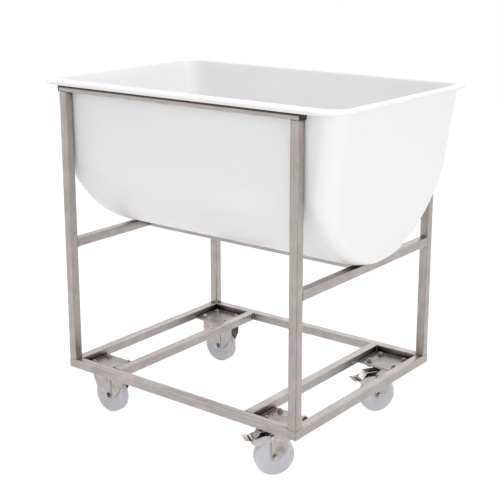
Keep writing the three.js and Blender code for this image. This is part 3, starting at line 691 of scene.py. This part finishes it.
def dress(node, material, bevel):
    """Gives a CAD node its material and rounds its edges by bevel, in millimetres."""
    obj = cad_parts[node]
    obj.data.materials.clear()
    obj.data.materials.append(material)
    obj.data.shade_smooth()
    obj.data.set_sharp_from_angle(angle=SHARP_ANGLE)
    mod = obj.modifiers.new("edges", "BEVEL")
    mod.width = bevel * MM
    mod.segments = 2
    mod.limit_method = "ANGLE"
    mod.angle_limit = SHARP_ANGLE
    mod.harden_normals = True
    return obj


for place, sx, sy in CORNERS:
    dress("end_plug_" + place, BLACK, 0.8)
    dress("castor_sheet_" + place, SHEET, 0.4)
for end in ("front", "back"):
    dress("fixed_bracket_" + end, BRACKET, 0.4)
    dress("swivel_plate_" + end, SHEET, 0.4)
    dress("swivel_fork_" + end, BRACKET, 0.4)
    dress("brake_leaf_" + end, BRAKE, 0.3)
    dress("brake_pedal_" + end, BRAKE, 0.4)
    for node in ("fixed_axle_", "swivel_axle_", "brake_pin_"):
        # Bolts take the painted shade on their sides and the lighter copy, painted light, on their end
        # faces
        bolt = dress(node + end, SHADED_FIXING, 0.5)
        bolt.data.materials.append(LIT_BOLT_END)
        spin = frame_axis(bolt)
        for face in bolt.data.polygons:
            if abs(face.normal.dot(spin)) > END_FACE:
                face.material_index = 1
    for side in ("_left", "_right"):
        dress("bush_" + end + side, SHADED_FIXING, 0.3)


# Stage, light and camera

FLOOR_SIDE, FLOOR_FAR = 8.0, 14.0
PAPER_GLOW, PAPER_SHARE = 1.12, 0.82
SOFT_LIGHT, WHITE = 0.54, 1.0
# Name, place, aim, size in metres and power in watts
LAMPS = [
    ("front", (2.5, -3.8, 2.3), (0, 0, 0.5), (2.4, 2.4), 22),
    ("low", (1.3, -3.7, 0.3), (0, 0, 0.6), (3.0, 0.5), 12),
    ("key", (4.4, -0.2, 1.8), (0, 0, 0.5), (2.4, 2.4), 38),
    ("left", (-4.2, -0.9, 1.6), (0, 0, 0.5), (2.4, 2.4), 26),
    ("top", (0.3, 0.2, 5.6), (0, 0, 0.5), (3.2, 3.2), 136),
    ("rear", (-2.6, 4.2, 3.2), (0, 0, 0.5), (3.0, 2.0), 16),
]


def background_rays(tree):
    """1 for rays that see the background straight, in metal or through plastic, else 0."""
    path = tree.nodes.new("ShaderNodeLightPath")
    seen = path.outputs["Is Camera Ray"]
    for ray in ("Is Glossy Ray", "Is Transmission Ray"):
        either = tree.nodes.new("ShaderNodeMath")
        either.operation = "MAXIMUM"
        tree.links.new(seen, either.inputs[0])
        tree.links.new(path.outputs[ray], either.inputs[1])
        seen = either.outputs[0]
    return seen


def stage_material():
    """White paper that glows a little to the camera, so that it stays white and keeps a faint shadow."""
    m = Nodes("paper_floor")
    grain = m.noise(m.coords((4, 4, 4)), 2.0, 0.5)
    m.set(Base_Color=m.ramp(grain, [(0.3, (0.90, 0.90, 0.90)), (0.7, (0.92, 0.92, 0.92))]), Roughness=0.9,
          Specular_IOR_Level=0.1)
    glow = m.put("Emission", {"Color": (1, 1, 1, 1), "Strength": PAPER_GLOW})
    mixed = m.put("MixShader", {"Fac": m.math("MULTIPLY", background_rays(m.tree), PAPER_SHARE)})
    m.link(m.shader.outputs["BSDF"], mixed.inputs[1])
    m.link(glow.outputs[0], mixed.inputs[2])
    m.link(mixed.outputs[0], m.out.inputs["Surface"])
    return m.material


def make_stage():
    data = bpy.data.meshes.new("floor")
    side, far = FLOOR_SIDE, FLOOR_FAR
    corners = [(-side, -side, 0), (side, -side, 0), (side, far, 0), (-side, far, 0)]
    data.from_pydata(corners, [], [(0, 1, 2, 3)])
    data.materials.append(stage_material())
    floor = bpy.data.objects.new("floor", data)
    bpy.context.scene.collection.objects.link(floor)


def make_world():
    world = bpy.data.worlds.new("studio")
    bpy.context.scene.world = world
    world.use_nodes = True
    tree = world.node_tree
    tree.nodes.clear()
    out = tree.nodes.new("ShaderNodeOutputWorld")
    mix = tree.nodes.new("ShaderNodeMixShader")
    tree.links.new(background_rays(tree), mix.inputs[0])
    for socket, strength in ((1, SOFT_LIGHT), (2, WHITE)):
        sky = tree.nodes.new("ShaderNodeBackground")
        sky.inputs["Strength"].default_value = strength
        sky.inputs["Color"].default_value = (1, 1, 1, 1)
        tree.links.new(sky.outputs[0], mix.inputs[socket])
    tree.links.new(mix.outputs[0], out.inputs["Surface"])


def area(name, place, target, size, power):
    data = bpy.data.lights.new(name, "AREA")
    data.shape = "RECTANGLE"
    data.size, data.size_y = size
    data.energy = power
    lamp = bpy.data.objects.new(name, data)
    lamp.location = place
    lamp.rotation_mode = "QUATERNION"
    lamp.rotation_quaternion = (Vector(target) - Vector(place)).to_track_quat("-Z", "Y")
    bpy.context.scene.collection.objects.link(lamp)


# A camera fitted to the frame's edges in the photo: place in millimetres, angles in radians
CAMERA_PLACE = (1855.3, -2388.3, 1364.0)
YAW, PITCH, ROLL = 0.6599, 0.2380, -0.0006
IMAGE_PIXELS, FOCAL_PIXELS, SENSOR, SHIFT_Y = 500, 1109.86, 36.0, -0.10


def make_camera():
    yaw, pitch, roll = YAW, PITCH, ROLL
    forward = Vector((-math.sin(yaw) * math.cos(pitch), math.cos(yaw) * math.cos(pitch), -math.sin(pitch)))
    right = Vector((math.cos(yaw), math.sin(yaw), 0))
    up = right.cross(forward)
    across = math.cos(roll) * right + math.sin(roll) * up
    rise = -math.sin(roll) * right + math.cos(roll) * up
    data = bpy.data.cameras.new("camera")
    data.sensor_width = SENSOR
    data.lens = FOCAL_PIXELS / IMAGE_PIXELS * SENSOR
    data.shift_y = SHIFT_Y
    data.clip_end = 100
    cam = bpy.data.objects.new("camera", data)
    turn = Matrix((across, rise, -forward)).transposed()
    cam.matrix_world = Matrix.Translation(at(*CAMERA_PLACE)) @ turn.to_4x4()
    bpy.context.scene.collection.objects.link(cam)
    bpy.context.scene.camera = cam


make_stage()
make_world()
for lamp in LAMPS:
    area(*lamp)
make_camera()
scene = bpy.context.scene
scene.view_settings.view_transform = "Standard"
